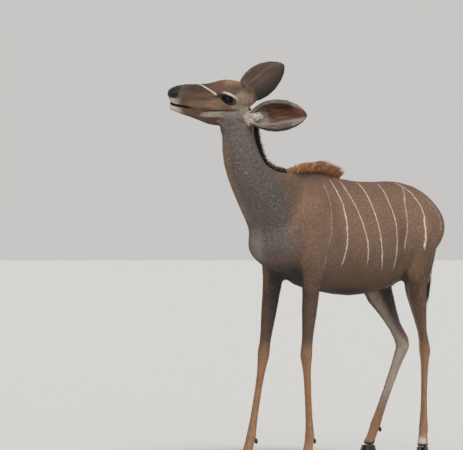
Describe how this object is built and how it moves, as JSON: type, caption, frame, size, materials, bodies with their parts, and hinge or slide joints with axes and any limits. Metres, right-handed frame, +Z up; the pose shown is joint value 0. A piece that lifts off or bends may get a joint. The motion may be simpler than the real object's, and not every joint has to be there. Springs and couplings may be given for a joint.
{
  "type": "greater kudu",
  "caption": "Life-size still model of a hornless greater kudu standing with her head raised to browse, cupped ears spread.",
  "frame": {"origin": "bottom centre of the model's box, on the ground between the feet", "axes": "+Z up, the body faces -Y, the animal's left side is +X"},
  "size_m": [0.452, 1.5972, 1.6182],
  "materials": {
    "coat": "short warm brown hair with thin white stripes, greyer on the neck, tan on the lower legs",
    "long_hair": "longer hair of the tail, brown above, white below and black at the tip",
    "ear": "thin skin with short hair, dark outside, red-brown inside, pale rim",
    "eye": "wet dark brown eye",
    "horn": "dark brown hoof horn, fine growth rings"
  },
  "bodies": {
    "root": {"head": "coat", "neck": "coat", "foreleg_left": "coat", "foreleg_right": "coat", "hindleg_left": "coat", "hindleg_right": "coat", "torso": "coat", "tail": "long_hair", "ear_left": "ear", "ear_right": "ear", "eye_left": "eye", "eye_right": "eye", "foreleg_left_claw_inner": "horn", "foreleg_left_dewclaw_inner": "horn", "foreleg_left_claw_outer": "horn", "foreleg_left_dewclaw_outer": "horn", "foreleg_right_claw_inner": "horn", "foreleg_right_dewclaw_inner": "horn", "foreleg_right_claw_outer": "horn", "foreleg_right_dewclaw_outer": "horn", "hindleg_left_claw_inner": "horn", "hindleg_left_dewclaw_inner": "horn", "hindleg_left_claw_outer": "horn", "hindleg_left_dewclaw_outer": "horn", "hindleg_right_claw_inner": "horn", "hindleg_right_dewclaw_inner": "horn", "hindleg_right_claw_outer": "horn", "hindleg_right_dewclaw_outer": "horn"}
  },
  "joints": []
}
